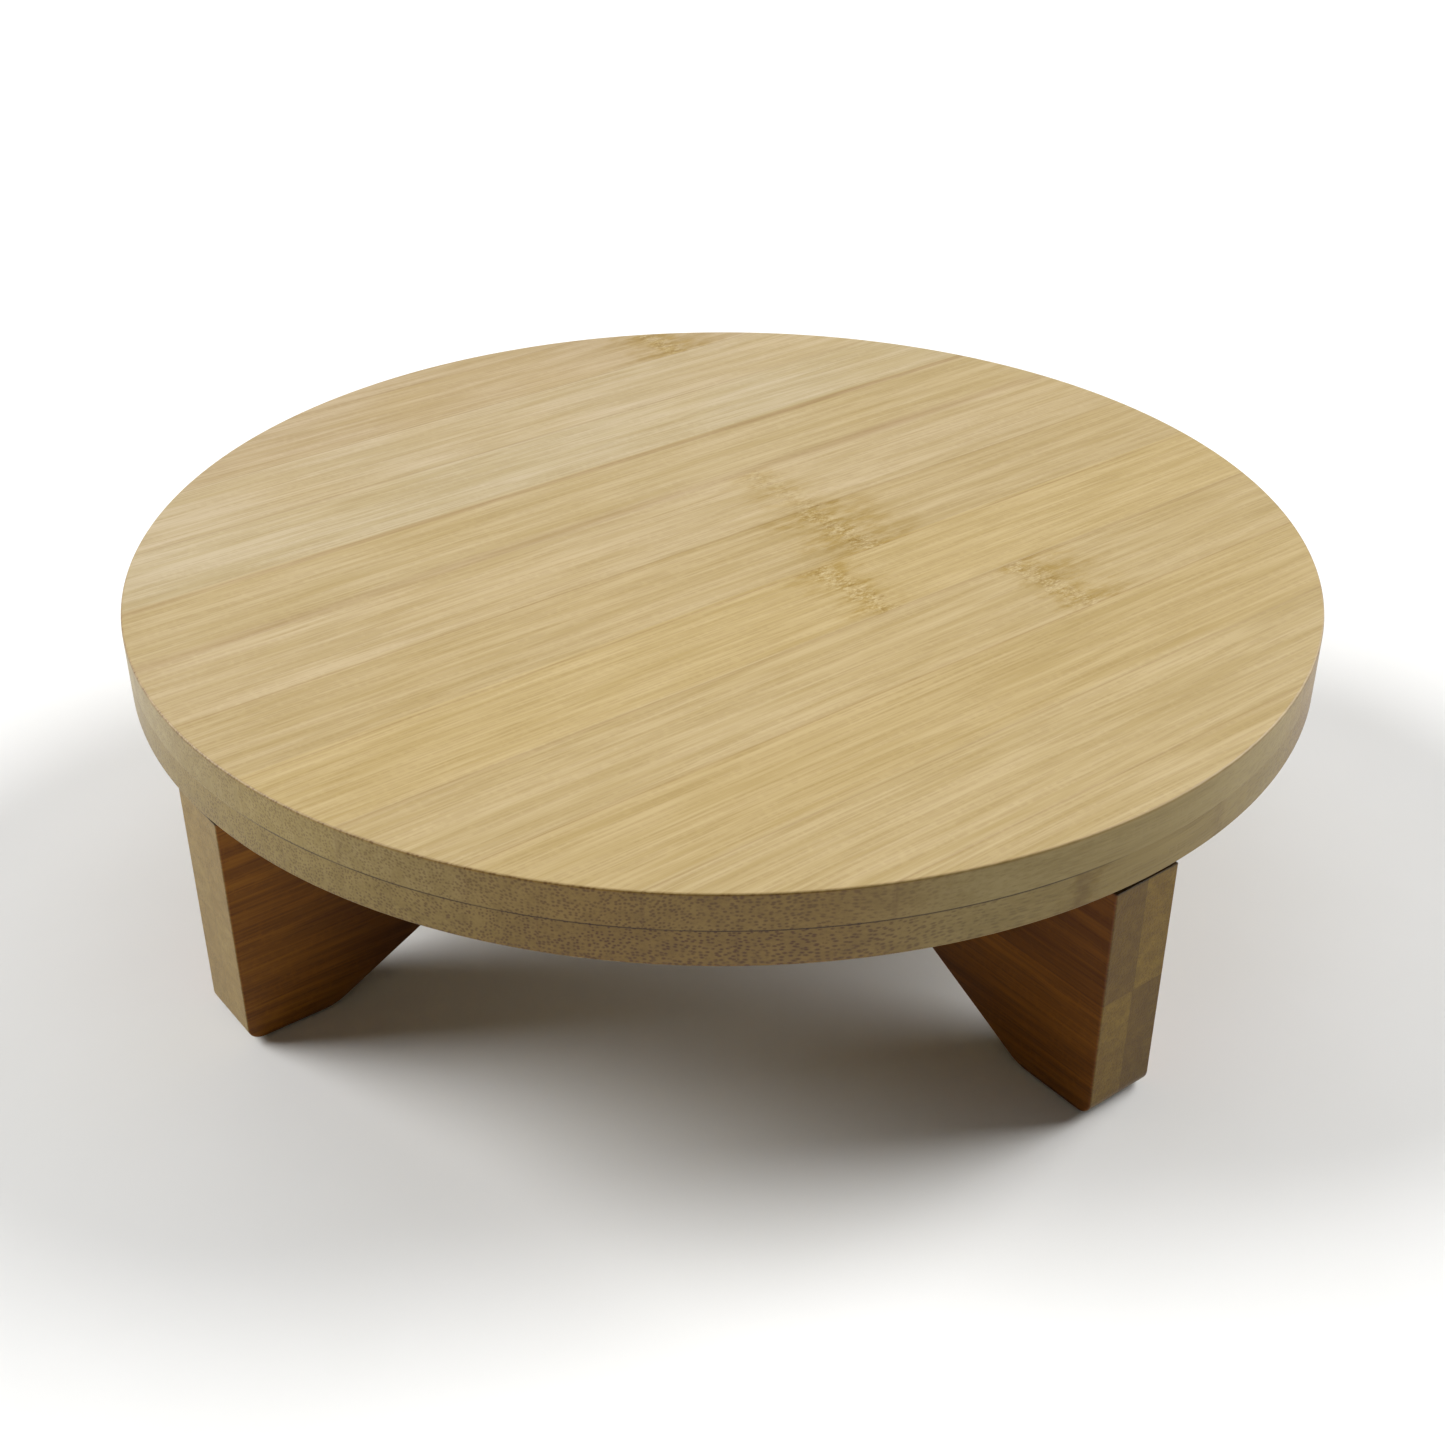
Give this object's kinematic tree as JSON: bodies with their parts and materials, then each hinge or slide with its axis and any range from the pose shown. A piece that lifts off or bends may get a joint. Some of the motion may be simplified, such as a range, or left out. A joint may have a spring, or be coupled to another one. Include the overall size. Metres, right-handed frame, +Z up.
{
  "type": "lazy susan turntable",
  "caption": "Round bamboo serving turntable: a two-ply board that spins on a hidden ring bearing over a halved cross of planks with cut-away feet.",
  "frame": {"origin": "on the table, under the middle of the board, level with the pads' undersides", "axes": "+Z up along the board's turning axis; +X along the x plank and along the board's grain at rest; +Y along the y plank"},
  "size_m": [0.25, 0.25, 0.0695],
  "materials": {
    "bamboo_board": "oiled, satin",
    "bamboo_base": "oiled, satin",
    "race_metal": "satin",
    "ball_steel": "polished",
    "cage_nylon": "matt moulded nylon",
    "screw_metal": "zinc plated",
    "pad_silicone": "matt translucent grey"
  },
  "bodies": {
    "base": {"x_plank_front_ply": "bamboo_base", "x_plank_back_ply": "bamboo_base", "y_plank_right_ply": "bamboo_base", "y_plank_left_ply": "bamboo_base", "right_foot_pad": "pad_silicone", "back_foot_pad": "pad_silicone", "left_foot_pad": "pad_silicone", "front_foot_pad": "pad_silicone", "bearing_fixed_race": "race_metal", "base_screws": "screw_metal"},
    "board": {"board_upper_ply": "bamboo_board", "board_lower_ply": "bamboo_board", "bearing_turning_race": "race_metal", "board_screws": "screw_metal"},
    "cage": {"bearing_ball_cage": "cage_nylon", "bearing_balls": "ball_steel"}
  },
  "joints": [
    {"name": "board_spin", "type": "hinge", "parent": "base", "child": "board", "pos_m": [0, 0, 0.0564], "axis": [0, 0, 1], "continuous": true},
    {"name": "cage_spin", "type": "hinge", "parent": "base", "child": "cage", "pos_m": [0, 0, 0.0564], "axis": [0, 0, 1], "continuous": true}
  ],
  "couplings": [
    {"joint": "cage_spin", "follows": "board_spin", "ratio": 0.5}
  ]
}
